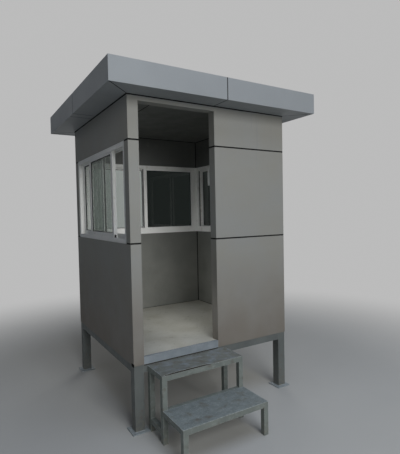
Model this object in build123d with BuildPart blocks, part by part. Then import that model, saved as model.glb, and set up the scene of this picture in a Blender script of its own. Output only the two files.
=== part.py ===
"""Small clad guard booth on four steel legs, with a two-step unit at its open doorway.

Millimetres. X runs right along the front, Y runs from the front to the back and Z up.
The origin is the centre of the four legs at ground level. The doorway faces -Y.
"""

from build123d import *
import os

os.makedirs("parts", exist_ok=True)

# Driving dimensions of the body
body_width = 1500.0
body_depth = 1500.0
sheet = 4.0
post_size = 75.0
post_wall = 2.0

# Levels above the ground
floor_level = 560.0
soffit_level = 2500.0
roof_height = 172.0

# Heights measured from the floor, the window sill and the soffit
threshold_height = 55.0
sill_joint_height = 852.0
window_band = 762.0
header_height = 40.0
ceiling_drop = 15.0

# Joints between cladding panels
joint = 8.0

# Floor
floor_beam_width = 50.0
floor_beam_height = 100.0
deck_thickness = 15.0
joist_width = 40.0
joist_height = 80.0
joist_spacing = 335.0

# Base plates and anchor holes
plate_margin = 30.0
plate_thickness = 8.0
anchor_radius = 7.0
anchor_edge = 16.0

# Open end of a floor tube, left uncapped beside the front left corner
tube_end_width = 52.0
tube_end_height = 30.0
tube_end_drop = 15.0

# Doorway, from the left post to the middle of the front
door_jamb_x = 0.0

# Wall rails around the windows
rail_height = 40.0
rail_setback = 5.0

# Windows
jamb_face = 40.0
sill_face = 34.0
head_face = 36.0
frame_depth = post_size
track_depth = 6.0
head_pocket = 27.0
track_width = 30.0
outer_track_start = 6.0
inner_track_start = 39.0
sash_thickness = 28.0
sash_stile = 38.0
sash_rail = 42.0
sash_play = 2.0
glass_thickness = 5.0
glass_grip = 8.0
upstand_height = 30.0
upstand_thickness = 5.0
left_outer_sash_slide = 273.0

# Roof
overhang = 200.0
head_beam_height = 75.0
roof_tube_width = 40.0
roof_joist_height = 60.0
roof_joist_pitch = 440.0
fascia_flange = 40.0
left_soffit_strip = 110.0
ceiling_seam_x = -500.0

# Steps
step_width = 706.0
step_offset = 47.0
step_tube = 38.0
tread_sheet = 2.0
tread_clearance = 13.0
upper_run = 245.0
lower_run = 295.0
stretcher_bottom = 62.0

# Switch box inside the doorway
switch_width = 80.0
switch_height = 125.0
switch_depth = 45.0
switch_height_above_floor = 1300.0
switch_jamb_gap = 8.0
switch_corner_radius = 5.0
switch_lid_radius = 3.0

# Planes of the body
half_width = body_width / 2
half_depth = body_depth / 2
frame_x = half_width - sheet
frame_y = half_depth - sheet
inner_x = frame_x - post_size
inner_y = frame_y - post_size
room_x = inner_x - sheet
room_y = inner_y - sheet
cladding_bottom = floor_level - threshold_height
sill_joint = floor_level + sill_joint_height
head_joint = sill_joint + window_band
door_head = soffit_level - header_height
ceiling_level = soffit_level - ceiling_drop
deck_bottom = floor_level - deck_thickness
floor_beam_bottom = deck_bottom - floor_beam_height
tube_end_bottom = cladding_bottom - tube_end_drop
head_beam_bottom = door_head + sheet
head_beam_top = head_beam_bottom + head_beam_height
lower_top = sill_joint - joint / 2
middle_bottom = sill_joint + joint / 2
middle_top = head_joint - joint / 2
upper_bottom = head_joint + joint / 2
door_left = -room_x
roof_x = half_width + overhang
roof_y = half_depth + overhang
roof_top = soffit_level + roof_height
roof_frame_x = roof_x - sheet
roof_frame_y = roof_y - sheet
soffit_top = soffit_level + sheet
deck_level = head_beam_top + roof_joist_height
bands = [
    (cladding_bottom, lower_top),
    (middle_bottom, middle_top),
    (upper_bottom, soffit_level),
]


def block(x0, x1, y0, y1, z0, z1, mode=Mode.ADD):
    """Adds or cuts one rectangular block given by its faces."""
    with Locations(((x0 + x1) / 2, (y0 + y1) / 2, (z0 + z1) / 2)):
        Box(x1 - x0, y1 - y0, z1 - z0, mode=mode)


def save(builder, name):
    """Labels a finished piece and writes it as its own file."""
    builder.part.label = name
    export_step(builder.part, f"parts/{name}.step")


# Corner posts: square tube from a base plate to the head beams, one at each corner
plate_half = post_size / 2 + plate_margin
plate_hole = plate_half - anchor_edge
post_centre_x = frame_x - post_size / 2
post_centre_y = frame_y - post_size / 2


def corner_post(side_x, side_y, open_tube_end=False):
    """A base plate with two anchor holes and the square tube welded on it."""
    centre = (side_x * post_centre_x, side_y * post_centre_y)
    with BuildPart() as post:
        with BuildSketch():
            with Locations(centre):
                Rectangle(2 * plate_half, 2 * plate_half)
        extrude(amount=plate_thickness)
        with BuildSketch(Plane.XY.offset(plate_thickness)):
            with Locations(centre):
                Rectangle(post_size, post_size)
                bore = post_size - 2 * post_wall
                Rectangle(bore, bore, mode=Mode.SUBTRACT)
        extrude(amount=head_beam_top - plate_thickness)
        outer_hole = (centre[0] + side_x * plate_hole, centre[1] + side_y * plate_hole)
        inner_hole = (centre[0] - side_x * plate_hole, centre[1] - side_y * plate_hole)
        with BuildSketch():
            with Locations(outer_hole, inner_hole):
                Circle(anchor_radius)
        extrude(amount=plate_thickness, mode=Mode.SUBTRACT)
        if open_tube_end:
            block(
                -frame_x,
                -frame_x + post_wall,
                -frame_y + post_wall,
                -frame_y + post_wall + tube_end_width,
                tube_end_bottom,
                tube_end_bottom + tube_end_height,
                mode=Mode.SUBTRACT,
            )
    return post


save(corner_post(-1, -1, open_tube_end=True), "corner_post_front_left")
save(corner_post(1, -1), "corner_post_front_right")
save(corner_post(-1, 1), "corner_post_back_left")
save(corner_post(1, 1), "corner_post_back_right")

# Door post: upright tube that carries the jamb, between floor beam and head beam
door_post_x = door_jamb_x + sheet
with BuildPart() as door_post:
    with BuildSketch(Plane.XY.offset(deck_bottom)):
        with Locations((door_post_x + post_size / 2, -post_centre_y)):
            Rectangle(post_size, post_size)
            Rectangle(
                post_size - 2 * post_wall, post_size - 2 * post_wall, mode=Mode.SUBTRACT
            )
    extrude(amount=head_beam_bottom - deck_bottom)
save(door_post, "door_post")

# Floor beams: four tubes welded between the corner posts
with BuildPart() as floor_beams:
    for side in (-1, 1):
        beam_y = side * (frame_y - floor_beam_width / 2)
        beam_x = side * (frame_x - floor_beam_width / 2)
        with BuildSketch(Plane.XY.offset(floor_beam_bottom)):
            with Locations((0, beam_y)):
                Rectangle(2 * inner_x, floor_beam_width)
            with Locations((beam_x, 0)):
                Rectangle(floor_beam_width, 2 * inner_y)
        extrude(amount=deck_bottom - floor_beam_bottom)
save(floor_beams, "floor_beams")

# Floor joists: three tubes from the front beam to the back beam
joist_length = 2 * (frame_y - floor_beam_width)
with BuildPart() as floor_joists:
    with BuildSketch(Plane.XY.offset(deck_bottom - joist_height)):
        with GridLocations(joist_spacing, 0, 3, 1):
            Rectangle(joist_width, joist_length)
    extrude(amount=joist_height)
save(floor_joists, "floor_joists")

# Floor deck: cement board notched round the corner posts and the door post
with BuildPart() as floor_deck:
    with BuildSketch(Plane.XY.offset(deck_bottom)):
        Rectangle(2 * frame_x, 2 * frame_y)
        with GridLocations(2 * post_centre_x, 2 * post_centre_y, 2, 2):
            Rectangle(post_size, post_size, mode=Mode.SUBTRACT)
        with Locations((door_post_x + post_size / 2, -post_centre_y)):
            Rectangle(post_size, post_size, mode=Mode.SUBTRACT)
    extrude(amount=deck_thickness)
save(floor_deck, "floor_deck")

# Threshold: steel trim over the floor's edge in the doorway
with BuildPart() as threshold:
    block(door_left, door_jamb_x, -half_depth, -frame_y, cladding_bottom, floor_level)
save(threshold, "threshold")

# Head beams: four tubes between the tops of the corner posts
head_beam_width = post_size - rail_setback
with BuildPart() as head_beams:
    for side in (-1, 1):
        with BuildSketch(Plane.XY.offset(head_beam_bottom)):
            with Locations((0, side * (frame_y - head_beam_width / 2))):
                Rectangle(2 * inner_x, head_beam_width)
            with Locations((side * (frame_x - head_beam_width / 2), 0)):
                Rectangle(head_beam_width, 2 * inner_y)
        extrude(amount=head_beam_height)
save(head_beams, "head_beams")

# Window rails: a sill rail and a head rail between the posts of each window wall
with BuildPart() as window_rails:
    for rail_bottom in (lower_top - rail_height, upper_bottom):
        with BuildSketch(Plane.XY.offset(rail_bottom)):
            with Locations((0, frame_y - head_beam_width / 2)):
                Rectangle(2 * inner_x, head_beam_width)
            for side in (-1, 1):
                with Locations((side * (frame_x - head_beam_width / 2), 0)):
                    Rectangle(head_beam_width, 2 * inner_y)
        extrude(amount=rail_height)
save(window_rails, "window_rails")

# Front left post cladding: three folded sheets round the post, with a jamb return
with BuildPart() as front_post_cladding:
    for bottom, top in bands:
        block(-frame_x, door_left, -half_depth, -frame_y, bottom, top)
        jamb_bottom = max(bottom, floor_level)
        jamb_top = min(top, head_beam_bottom)
        block(-inner_x, door_left, -frame_y, -room_y, jamb_bottom, jamb_top)
    block(-half_width, -frame_x, -half_depth, -room_y, middle_bottom, middle_top)
save(front_post_cladding, "front_post_cladding")


def front_right_panel(bottom, top, wraps_corner):
    """A sheet on the wall right of the door, folded into the jamb."""
    with BuildPart() as panel:
        block(door_jamb_x, frame_x, -half_depth, -frame_y, bottom, top)
        jamb_bottom = max(bottom, floor_level)
        jamb_top = min(top, head_beam_bottom)
        block(door_jamb_x, door_post_x, -frame_y, -room_y, jamb_bottom, jamb_top)
        if wraps_corner:
            block(frame_x, half_width, -half_depth, -room_y, bottom, top)
    return panel


# Front right wall: lower, middle and upper sheets with joints between them
save(front_right_panel(*bands[0], False), "front_right_lower_panel")
save(front_right_panel(*bands[1], True), "front_right_middle_panel")
save(front_right_panel(*bands[2], False), "front_right_upper_panel")

# Door header: sheet folded over the front and underside of the head beam
with BuildPart() as front_header:
    block(door_left, door_jamb_x, -half_depth, -frame_y, door_head, soffit_level)
    block(door_left, door_jamb_x, -frame_y, -room_y, door_head, head_beam_bottom)
save(front_header, "front_header")

# Front lining: the inner sheet right of the door and the strip over the doorway
with BuildPart() as front_lining:
    block(door_post_x, inner_x, -inner_y, -room_y, floor_level, ceiling_level)
    block(door_left, door_jamb_x, -inner_y, -room_y, head_beam_bottom, ceiling_level)
save(front_lining, "front_lining")

# Left, back and right walls: outer sheets below and above the window band
with BuildPart() as left_lower_panel:
    block(-half_width, -frame_x, -half_depth, half_depth, cladding_bottom, lower_top)
    block(
        -half_width,
        -frame_x,
        -half_depth,
        -frame_y + post_wall + tube_end_width,
        cladding_bottom,
        tube_end_bottom + tube_end_height,
        mode=Mode.SUBTRACT,
    )
save(left_lower_panel, "left_lower_panel")

with BuildPart() as left_upper_panel:
    block(-half_width, -frame_x, -half_depth, half_depth, upper_bottom, soffit_level)
save(left_upper_panel, "left_upper_panel")

with BuildPart() as right_lower_panel:
    block(frame_x, half_width, -half_depth, half_depth, cladding_bottom, lower_top)
save(right_lower_panel, "right_lower_panel")

with BuildPart() as right_upper_panel:
    block(frame_x, half_width, -half_depth, half_depth, upper_bottom, soffit_level)
save(right_upper_panel, "right_upper_panel")

with BuildPart() as back_lower_panel:
    block(-frame_x, frame_x, frame_y, half_depth, cladding_bottom, lower_top)
save(back_lower_panel, "back_lower_panel")

with BuildPart() as back_upper_panel:
    block(-frame_x, frame_x, frame_y, half_depth, upper_bottom, soffit_level)
save(back_upper_panel, "back_upper_panel")

# Back corner trims: folded sheets round both back posts in the window band
with BuildPart() as back_corner_trims:
    for x0, x1, edge0, edge1 in (
        (-frame_x, door_left, -half_width, -frame_x),
        (room_x, frame_x, frame_x, half_width),
    ):
        block(x0, x1, frame_y, half_depth, middle_bottom, middle_top)
        block(edge0, edge1, room_y, half_depth, middle_bottom, middle_top)
save(back_corner_trims, "back_corner_trims")

# Linings: inner sheets below and above the windows
lining_bands = [(floor_level, lower_top), (upper_bottom, ceiling_level)]

with BuildPart() as left_lining:
    for bottom, top in lining_bands:
        block(-inner_x, -room_x, -room_y, inner_y, bottom, top)
save(left_lining, "left_lining")

with BuildPart() as right_lining:
    for bottom, top in lining_bands:
        block(room_x, inner_x, -room_y, inner_y, bottom, top)
save(right_lining, "right_lining")

with BuildPart() as back_lining:
    for bottom, top in lining_bands:
        block(-room_x, room_x, room_y, inner_y, bottom, top)
save(back_lining, "back_lining")

# Windows: the same two-sash sliding unit in the left, back and right walls.
# Local u runs along the wall, v up and the plane's normal into the room.
window_height = upper_bottom - lower_top
clear_height = window_height - sill_face - head_face
clear_centre_v = sill_face + clear_height / 2
track_height = clear_height + track_depth + head_pocket
track_centre_v = sill_face - track_depth + track_height / 2
sash_height = track_height - sash_play
sash_centre_v = track_centre_v - sash_play / 2
outer_sash_depth = outer_track_start + (track_width - sash_thickness) / 2
inner_sash_depth = inner_track_start + (track_width - sash_thickness) / 2
walls = {
    "left": (Plane((-frame_x, 0, lower_top), x_dir=(0, 1, 0), z_dir=(1, 0, 0)), inner_y),
    "back": (Plane((0, frame_y, lower_top), x_dir=(1, 0, 0), z_dir=(0, -1, 0)), inner_x),
    "right": (Plane((frame_x, 0, lower_top), x_dir=(0, -1, 0), z_dir=(-1, 0, 0)), inner_y),
}


def sash_width(half_length):
    """Width of one sash when the pair meets with its stiles lapped."""
    closed_span = 2 * (half_length - jamb_face + track_depth - sash_play)
    return (closed_span + sash_stile) / 2


def window_frame(wall, half_length):
    """The outer frame with its two sash tracks and the raised inner edge of the sill."""
    clear_width = 2 * (half_length - jamb_face)
    with BuildPart() as frame:
        with BuildSketch(wall):
            with Locations((0, window_height / 2)):
                Rectangle(2 * half_length, window_height)
            with Locations((0, clear_centre_v)):
                Rectangle(clear_width, clear_height, mode=Mode.SUBTRACT)
        extrude(amount=frame_depth)
        for start in (outer_track_start, inner_track_start):
            with BuildSketch(wall.offset(start)):
                with Locations((0, track_centre_v)):
                    Rectangle(clear_width + 2 * track_depth, track_height)
            extrude(amount=track_width, mode=Mode.SUBTRACT)
        with BuildSketch(wall.offset(frame_depth - upstand_thickness)):
            with Locations((0, sill_face + upstand_height / 2)):
                Rectangle(clear_width, upstand_height)
        extrude(amount=upstand_thickness)
    return frame


def sash(wall, centre_u, width, depth):
    """One sliding sash with a groove for its glass, on its track at the given depth."""
    opening_width = width - 2 * sash_stile
    opening_height = sash_height - 2 * sash_rail
    with BuildSketch(wall.offset(depth)) as ring:
        with Locations((centre_u, sash_centre_v)):
            Rectangle(width, sash_height)
            Rectangle(opening_width, opening_height, mode=Mode.SUBTRACT)
    extrude(ring.sketch, amount=sash_thickness)
    pane(wall, centre_u, width, depth, mode=Mode.SUBTRACT)


def pane(wall, centre_u, width, depth, mode=Mode.ADD):
    """The glass of one sash, gripped all round by the sash's groove."""
    glass_depth = depth + (sash_thickness - glass_thickness) / 2
    with BuildSketch(wall.offset(glass_depth)) as sheet_of_glass:
        with Locations((centre_u, sash_centre_v)):
            Rectangle(
                width - 2 * (sash_stile - glass_grip),
                sash_height - 2 * (sash_rail - glass_grip),
            )
    extrude(sheet_of_glass.sketch, amount=glass_thickness, mode=mode)


for wall_name, (wall, half_length) in walls.items():
    width = sash_width(half_length)
    end_u = half_length - jamb_face + track_depth - sash_play
    outer_u = -end_u + width / 2
    inner_u = end_u - width / 2
    if wall_name == "left":
        outer_u += left_outer_sash_slide
    save(window_frame(wall, half_length), f"{wall_name}_window_frame")
    with BuildPart() as sashes:
        sash(wall, outer_u, width, outer_sash_depth)
        sash(wall, inner_u, width, inner_sash_depth)
    save(sashes, f"{wall_name}_window_sashes")
    with BuildPart() as glass:
        pane(wall, outer_u, width, outer_sash_depth)
        pane(wall, inner_u, width, inner_sash_depth)
    save(glass, f"{wall_name}_window_glass")

# Roof joists: tubes laid front to back on the head beams, the outer two deeper
inner_joist_length = 2 * (roof_frame_y - roof_tube_width)
with BuildPart() as roof_joists:
    with BuildSketch(Plane.XY.offset(head_beam_top)):
        with GridLocations(roof_joist_pitch, 0, 3, 1):
            Rectangle(roof_tube_width, inner_joist_length)
    extrude(amount=roof_joist_height)
    with BuildSketch(Plane.XY.offset(soffit_top)):
        with GridLocations(2 * roof_frame_x - roof_tube_width, 0, 2, 1):
            Rectangle(roof_tube_width, inner_joist_length)
    extrude(amount=deck_level - soffit_top)
save(roof_joists, "roof_joists")

# Roof rims: the front and back edge tubes that close the joists
with BuildPart() as roof_rims:
    with BuildSketch(Plane.XY.offset(soffit_top)):
        with GridLocations(0, 2 * roof_frame_y - roof_tube_width, 1, 2):
            Rectangle(2 * roof_frame_x, roof_tube_width)
    extrude(amount=deck_level - soffit_top)
save(roof_rims, "roof_rims")

# Roof deck: one sheet on the joists inside the fascia
with BuildPart() as roof_deck:
    with BuildSketch(Plane.XY.offset(deck_level)):
        Rectangle(2 * roof_frame_x, 2 * roof_frame_y)
    extrude(amount=sheet)
save(roof_deck, "roof_deck")

# Fascia: four sheets folded round the roof's corners, jointed at mid side
with BuildPart() as roof_fascia:
    with BuildSketch(Plane.XY.offset(soffit_level)):
        Rectangle(2 * roof_x, 2 * roof_y)
        Rectangle(2 * roof_frame_x, 2 * roof_frame_y, mode=Mode.SUBTRACT)
    extrude(amount=roof_height)
    with BuildSketch(Plane.XY.offset(roof_top - sheet)):
        Rectangle(2 * roof_x, 2 * roof_y)
        Rectangle(
            2 * (roof_x - fascia_flange), 2 * (roof_y - fascia_flange), mode=Mode.SUBTRACT
        )
    extrude(amount=sheet)
    with BuildSketch(Plane.XY.offset(soffit_level)):
        Rectangle(joint, 2 * roof_y)
        Rectangle(2 * roof_x, joint)
    extrude(amount=roof_height, mode=Mode.SUBTRACT)
save(roof_fascia, "roof_fascia")

# Soffit: sheets under the overhang with mitred corners and joints at mid side
soffit_joint_angle = 45
with BuildPart() as soffit:
    with BuildSketch(Plane.XY.offset(soffit_level)):
        Rectangle(2 * roof_frame_x, 2 * roof_frame_y)
        Rectangle(2 * frame_x, 2 * frame_y, mode=Mode.SUBTRACT)
        Rectangle(joint, 2 * roof_y, mode=Mode.SUBTRACT)
        Rectangle(2 * roof_x, joint, mode=Mode.SUBTRACT)
        with Locations((-half_width - overhang / 2, left_soffit_strip)):
            Rectangle(2 * overhang, joint, mode=Mode.SUBTRACT)
        for side_x in (-1, 1):
            for side_y in (-1, 1):
                middle = (
                    side_x * (half_width + overhang / 2),
                    side_y * (half_depth + overhang / 2),
                )
                with Locations(Location(middle, soffit_joint_angle * side_x * side_y)):
                    Rectangle(3 * overhang, joint, mode=Mode.SUBTRACT)
    extrude(amount=sheet)
save(soffit, "soffit")

# Ceiling: two sheets between the walls with a joint near the left wall
with BuildPart() as ceiling:
    block(
        -inner_x, ceiling_seam_x - joint / 2, -inner_y, inner_y,
        ceiling_level, ceiling_level + sheet,
    )
    block(
        ceiling_seam_x + joint / 2, inner_x, -inner_y, inner_y,
        ceiling_level, ceiling_level + sheet,
    )
save(ceiling, "ceiling")

# Steps: welded square tube frame with two sheet treads, against the front floor beam
step_centre_x = (door_left + door_jamb_x) / 2 + step_offset
step_left = step_centre_x - step_width / 2
step_right = step_centre_x + step_width / 2
step_back = -frame_y
step_middle = -half_depth - upper_run
step_front = step_middle - lower_run
step_rise = (cladding_bottom - tread_clearance) / 2
upper_tread_top = 2 * step_rise
lower_tread_top = step_rise
upper_rail_top = upper_tread_top - tread_sheet
lower_rail_top = lower_tread_top - tread_sheet

with BuildPart() as step_frame:
    for x0 in (step_left, step_right - step_tube):
        x1 = x0 + step_tube
        block(x0, x1, step_back - step_tube, step_back, 0, upper_rail_top)
        block(x0, x1, step_middle, step_middle + step_tube, 0, upper_rail_top)
        block(x0, x1, step_front, step_front + step_tube, 0, lower_rail_top)
        block(x0, x1, step_middle, step_back, upper_rail_top - step_tube, upper_rail_top)
        block(x0, x1, step_front, step_middle, lower_rail_top - step_tube, lower_rail_top)
        block(
            x0, x1, step_middle, step_back, stretcher_bottom, stretcher_bottom + step_tube
        )
    for y0, rail_top in (
        (step_back - step_tube, upper_rail_top),
        (step_middle, upper_rail_top),
        (step_middle, lower_rail_top),
        (step_front, lower_rail_top),
    ):
        block(step_left, step_right, y0, y0 + step_tube, rail_top - step_tube, rail_top)
save(step_frame, "step_frame")

with BuildPart() as step_treads:
    block(step_left, step_right, step_middle, step_back, upper_rail_top, upper_tread_top)
    block(step_left, step_right, step_front, step_middle, lower_rail_top, lower_tread_top)
save(step_treads, "step_treads")

# Switch box: small surface box on the front lining beside the jamb
with BuildPart() as switch_box:
    with BuildSketch(Plane.XZ.offset(room_y)):
        with Locations(
            (
                door_jamb_x + switch_jamb_gap + switch_width / 2,
                floor_level + switch_height_above_floor + switch_height / 2,
            )
        ):
            Rectangle(switch_width, switch_height)
    extrude(amount=-switch_depth)
    fillet(switch_box.edges().filter_by(Axis.Y), switch_corner_radius)
    fillet(switch_box.faces().sort_by(Axis.Y)[-1].edges(), switch_lid_radius)
save(switch_box, "switch_box")
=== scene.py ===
"""Guard booth: a clad steel box on four legs, with sliding windows and a two-step unit.

Metres, in the frame of the CAD model: X right along the front, Y front to back, Z up.
"""

import math
import random

import bmesh
import bpy
from mathutils import Matrix, Vector


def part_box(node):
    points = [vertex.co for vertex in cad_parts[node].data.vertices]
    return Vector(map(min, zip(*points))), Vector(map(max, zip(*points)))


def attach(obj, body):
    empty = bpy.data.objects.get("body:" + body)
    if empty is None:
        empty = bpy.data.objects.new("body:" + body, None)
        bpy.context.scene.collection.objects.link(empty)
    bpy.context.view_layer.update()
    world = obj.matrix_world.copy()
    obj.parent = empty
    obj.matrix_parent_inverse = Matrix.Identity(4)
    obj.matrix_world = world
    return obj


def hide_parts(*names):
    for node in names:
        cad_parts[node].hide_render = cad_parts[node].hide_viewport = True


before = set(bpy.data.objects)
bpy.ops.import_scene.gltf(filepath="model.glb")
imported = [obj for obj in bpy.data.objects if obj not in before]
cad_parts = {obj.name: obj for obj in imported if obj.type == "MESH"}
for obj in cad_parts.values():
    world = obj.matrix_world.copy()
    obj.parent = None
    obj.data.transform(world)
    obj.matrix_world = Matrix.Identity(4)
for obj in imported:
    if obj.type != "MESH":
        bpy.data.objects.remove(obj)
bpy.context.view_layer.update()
random.seed(7)


# Steel frame
# Square tube, welded and sprayed with grey enamel before the sheets went on. The legs,
# the floor beams and the tops of the base plates are all that shows of it outside.
def linear(hex_colour):
    """An sRGB hex colour as the linear colour that a shader takes."""
    shares = [int(hex_colour[i : i + 2], 16) / 255 for i in (1, 3, 5)]
    toned = [s / 12.92 if s <= 0.04045 else ((s + 0.055) / 1.055) ** 2.4 for s in shares]
    return (*toned, 1.0)


def add_node(tree, kind, inputs=None, output=0, **settings):
    """Adds a node with its settings, sets or links its inputs, and gives one output."""
    made = tree.nodes.new(kind)
    for name, value in settings.items():
        setattr(made, name, value)
    for name, value in (inputs or {}).items():
        if isinstance(value, bpy.types.NodeSocket):
            tree.links.new(value, made.inputs[name])
        else:
            made.inputs[name].default_value = value
    return made.outputs[output] if made.outputs else None


def start_material(name):
    """An empty material, and the place on the object in metres."""
    material = bpy.data.materials.new(name)
    material.use_nodes = True
    tree = material.node_tree
    tree.nodes.clear()
    return material, tree, add_node(tree, "ShaderNodeTexCoord", output="Object")


def unevenness(tree, place, size_mm, low, high, detail=3.0, stretch=(1, 1, 1), within=1.0):
    """Cloudy unevenness of a real size between two values, kept within a share."""
    stretched = add_node(tree, "ShaderNodeMapping", {"Vector": place, "Scale": stretch})
    texture = {"Vector": stretched, "Scale": 1000 / size_mm, "Detail": detail}
    cloud = add_node(tree, "ShaderNodeTexNoise", texture)
    # The noise seldom leaves the range from 0.3 to 0.7.
    spread = {"Value": cloud, "From Min": 0.3, "From Max": 0.7, "To Min": low, "To Max": high}
    spread = add_node(tree, "ShaderNodeMapRange", spread)
    if within == 1.0:
        return spread
    return add_node(tree, "ShaderNodeMath", {0: spread, 1: within}, operation="MULTIPLY")


def fading_up(tree, place, bottom, top):
    """A share that is 1 at the height bottom and fades to 0 at the height top."""
    height = add_node(tree, "ShaderNodeSeparateXYZ", {0: place}, "Z")
    fade = {"Value": height, "From Min": bottom, "From Max": top, "To Min": 1.0, "To Max": 0.0}
    return add_node(tree, "ShaderNodeMapRange", fade)


def outside_edges(tree, reach):
    """A share that is 1 on the outside edges, as far in as reach."""
    rounded = add_node(tree, "ShaderNodeBevel", {"Radius": reach}, samples=4)
    flat = add_node(tree, "ShaderNodeNewGeometry", output="Normal")
    facing = add_node(tree, "ShaderNodeVectorMath", {0: rounded, 1: flat}, "Value", operation="DOT_PRODUCT")
    # From 6 degrees between the rounded and the flat normal up to 26 degrees.
    spread = {"Value": facing, "From Min": 0.995, "From Max": 0.9}
    return add_node(tree, "ShaderNodeMapRange", spread)


def layered(tree, ground, *layers):
    """A ground colour with other colours laid on it, each by its own share."""
    colour = linear(ground)
    for share, over in layers:
        # Inputs 6 and 7 and output 2 are the ones for colours.
        colours = {0: share, 6: colour, 7: linear(over)}
        colour = add_node(tree, "ShaderNodeMix", colours, 2, data_type="RGBA")
    return colour


# Grey alkyd enamel, sprayed: a soft sheen with fine orange peel, rubbed pale on the
# edges, with splashed soil near the ground and rust where the spray was thin. The base
# plates are a paler blue-grey.
grey_enamel, tree, place = start_material("grey_enamel_sprayed_on_tube")
near_ground = fading_up(tree, place, 0.0, 0.18)
low_down = fading_up(tree, place, 0.0, 0.45)
on_plates = fading_up(tree, place, 0.009, 0.013)
paint = layered(
    tree,
    "#565b5a",
    (unevenness(tree, place, 220, 0, 1), "#636866"),
    (unevenness(tree, place, 14, 0, 0.7, within=outside_edges(tree, 0.0025)), "#989d9a"),
    (unevenness(tree, place, 35, -2.0, 0.7, within=low_down), "#61493a"),
    (unevenness(tree, place, 24, -0.2, 0.6, within=near_ground), "#7d7668"),
    (unevenness(tree, place, 20, 0.5, 1.0, within=on_plates), "#99a2a6"),
)
peel = {"Height": unevenness(tree, place, 3, 0, 1, detail=1.0), "Distance": 0.00005}
surface = {
    "Base Color": paint,
    "Roughness": unevenness(tree, place, 60, 0.42, 0.62),
    "Normal": add_node(tree, "ShaderNodeBump", peel),
}
shader = add_node(tree, "ShaderNodeBsdfPrincipled", surface)
add_node(tree, "ShaderNodeOutputMaterial", {"Surface": shader})


def dress(node_names, material, edge_mm):
    """Gives CAD nodes their finish and a real edge radius."""
    for name in node_names:
        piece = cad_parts[name]
        piece.data.materials.clear()
        piece.data.materials.append(material)
        edge = piece.modifiers.new("edge", "BEVEL")
        edge.width = edge_mm / 1000
        edge.segments = 2
        edge.limit_method = "ANGLE"
        edge.angle_limit = math.radians(35)


ends = ("front_left", "front_right", "back_left", "back_right")
corner_posts = [f"corner_post_{end}" for end in ends]
dress(corner_posts, grey_enamel, 2.0)
bars = ["door_post", "floor_beams", "floor_joists", "head_beams", "window_rails"]
dress(bars, grey_enamel, 1.5)


# Welds of the frame
# Short arc-welded fillets round each leg on its base plate, and where the floor beams
# meet the legs. Their ripples show through the enamel.
def run_profile(bm, start, end, across, outward, profile, pitch=2.0, swell=None):
    """Sweeps a profile of (across, outward) offsets along a line, with a ring each pitch."""
    start, end = Vector(start), Vector(end)
    across, outward = Vector(across), Vector(outward)
    count = max(1, round((end - start).length / pitch))
    rings = []
    for i in range(count + 1):
        centre = start.lerp(end, i / count)
        scale = swell(i / count) if swell else 1.0
        offsets = [(across * a + outward * o) * scale for a, o in profile]
        rings.append([bm.verts.new(centre + offset) for offset in offsets])
    join_rings(bm, rings)


def join_rings(bm, rings):
    """Skins a row of rings of vertices, and closes both ends."""
    sides = len(rings[0])
    for before, after in zip(rings, rings[1:]):
        for k in range(sides):
            turn = (k + 1) % sides
            bm.faces.new((before[k], before[turn], after[turn], after[k]))
    bm.faces.new(rings[0])
    bm.faces.new(reversed(rings[-1]))


def add_object(name, data):
    """Puts a mesh, lamp or camera into the scene."""
    made = bpy.data.objects.new(name, data)
    bpy.context.scene.collection.objects.link(made)
    return made


def new_piece(name, bm, material, smooth=True):
    """Turns a finished mesh into a piece that rides on the booth."""
    bmesh.ops.recalc_face_normals(bm, faces=bm.faces)
    mesh = bpy.data.meshes.new(name)
    bm.to_mesh(mesh)
    bm.free()
    mesh.materials.append(material)
    for face in mesh.polygons:
        face.use_smooth = smooth
    piece = add_object(name, mesh)
    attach(piece, "root")
    return piece


def weld(bm, start, end, face_a, face_b, throat):
    """A rippled fillet in the corner between two faces, given by their normals."""
    length = (Vector(end) - Vector(start)).length
    ripples = max(2, round(length / (1.1 * throat)))
    bead = [(-0.2, -0.2), (1.0, -0.2), (0.95, 0.15), (0.6, 0.6), (0.15, 0.95), (-0.2, 1.0)]
    profile = [(a * throat, b * throat) for a, b in bead]
    phase = random.uniform(0, math.tau)

    def swell(t):
        """Thinner toward both ends, and thicker on each ripple."""
        ends = min(1.0, 0.55 + 6 * min(t, 1 - t))
        return ends * (0.92 + 0.14 * abs(math.sin(math.pi * ripples * t + phase)))

    ring_pitch = 0.385 * throat
    run_profile(bm, start, end, face_a, face_b, profile, ring_pitch, swell)


plate_top = 0.008
post_half = 0.0375
leg_throat, beam_throat = 0.005, 0.004
welded_share = 0.96
short_of_face = 0.002
bm = bmesh.new()
for name in corner_posts:
    low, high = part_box(name)
    middle_x, middle_y = (low[0] + high[0]) / 2, (low[1] + high[1]) / 2
    for dx, dy in ((1, 0), (-1, 0), (0, 1), (0, -1)):
        foot = Vector((middle_x + dx * post_half, middle_y + dy * post_half, plate_top))
        along = Vector((-dy, dx, 0)) * post_half * welded_share
        weld(bm, foot - along, foot + along, (dx, dy, 0), (0, 0, 1), leg_throat)
beams_low, beams_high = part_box("floor_beams")
beam_width = 0.05
beam_end = beams_high[0] - 2 * post_half
beam_inside, beam_outside = beams_high[0] - beam_width, beams_high[0] - short_of_face
z = beams_low[2]
for sx in (-1, 1):
    for sy in (-1, 1):
        inner, outer = sy * beam_inside, sy * beam_outside
        x = sx * beam_end
        weld(bm, (x, inner, z), (x, outer, z), (-sx, 0, 0), (0, 0, -1), beam_throat)
        inner, outer = sx * beam_inside, sx * beam_outside
        y = sy * beam_end
        weld(bm, (inner, y, z), (outer, y, z), (0, -sy, 0), (0, 0, -1), beam_throat)
new_piece("frame_welds", bm, grey_enamel)


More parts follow.
